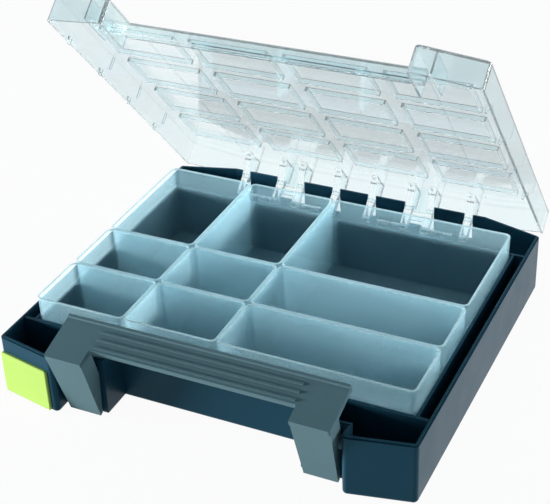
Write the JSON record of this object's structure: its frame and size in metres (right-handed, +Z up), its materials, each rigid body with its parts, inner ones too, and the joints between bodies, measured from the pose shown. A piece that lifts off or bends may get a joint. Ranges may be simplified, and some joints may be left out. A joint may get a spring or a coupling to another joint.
{
  "type": "tool case",
  "caption": "Flat tool case with a clear hinged lid, a tilting front handle and lift-out translucent boxes for small parts.",
  "frame": {"origin": "centre of the case bottom, on the surface it stands on", "axes": "+X to the right, -Y to the front with the handle, +Z up"},
  "size_m": [0.2412, 0.2488, 0.2035],
  "materials": {
    "case_plastic": "satin",
    "tag_plastic": "satin",
    "pin_steel": "satin",
    "lid_clear": "gloss",
    "handle_plastic": "satin",
    "insert_plastic": "satin"
  },
  "bodies": {
    "case": {"case_base": "case_plastic", "corner_tag": "tag_plastic", "hinge_pins": "pin_steel"},
    "lid": {"lid": "lid_clear"},
    "handle": {"handle": "handle_plastic"},
    "insert_front_left": {"insert_front_left": "insert_plastic"},
    "insert_front_middle": {"insert_front_middle": "insert_plastic"},
    "insert_front_wide": {"insert_front_wide": "insert_plastic"},
    "insert_middle_left": {"insert_middle_left": "insert_plastic"},
    "insert_middle_middle": {"insert_middle_middle": "insert_plastic"},
    "insert_middle_wide": {"insert_middle_wide": "insert_plastic"},
    "insert_back_left": {"insert_back_left": "insert_plastic"},
    "insert_back_middle": {"insert_back_middle": "insert_plastic"},
    "insert_back_wide": {"insert_back_wide": "insert_plastic"}
  },
  "joints": [
    {"name": "lid_hinge", "type": "hinge", "parent": "case", "child": "lid", "pos_m": [0, 0.1025, 0.025], "axis": [-1, 0, 0], "range_deg": [-48.85, 49]},
    {"name": "handle_hinge", "type": "hinge", "parent": "case", "child": "handle", "pos_m": [0, -0.1057, 0.0268], "axis": [1, 0, 0], "range_deg": [-17.3, 2.5]},
    {"name": "lift_front_left", "type": "slide", "parent": "case", "child": "insert_front_left", "axis": [0, 0, 1], "range_m": [0, 0.05]},
    {"name": "lift_front_middle", "type": "slide", "parent": "case", "child": "insert_front_middle", "axis": [0, 0, 1], "range_m": [0, 0.05]},
    {"name": "lift_front_wide", "type": "slide", "parent": "case", "child": "insert_front_wide", "axis": [0, 0, 1], "range_m": [0, 0.05]},
    {"name": "lift_middle_left", "type": "slide", "parent": "case", "child": "insert_middle_left", "axis": [0, 0, 1], "range_m": [0, 0.05]},
    {"name": "lift_middle_middle", "type": "slide", "parent": "case", "child": "insert_middle_middle", "axis": [0, 0, 1], "range_m": [0, 0.05]},
    {"name": "lift_middle_wide", "type": "slide", "parent": "case", "child": "insert_middle_wide", "axis": [0, 0, 1], "range_m": [0, 0.05]},
    {"name": "lift_back_left", "type": "slide", "parent": "case", "child": "insert_back_left", "axis": [0, 0, 1], "range_m": [0, 0.03]},
    {"name": "lift_back_middle", "type": "slide", "parent": "case", "child": "insert_back_middle", "axis": [0, 0, 1], "range_m": [0, 0.03]},
    {"name": "lift_back_wide", "type": "slide", "parent": "case", "child": "insert_back_wide", "axis": [0, 0, 1], "range_m": [0, 0.03]}
  ]
}
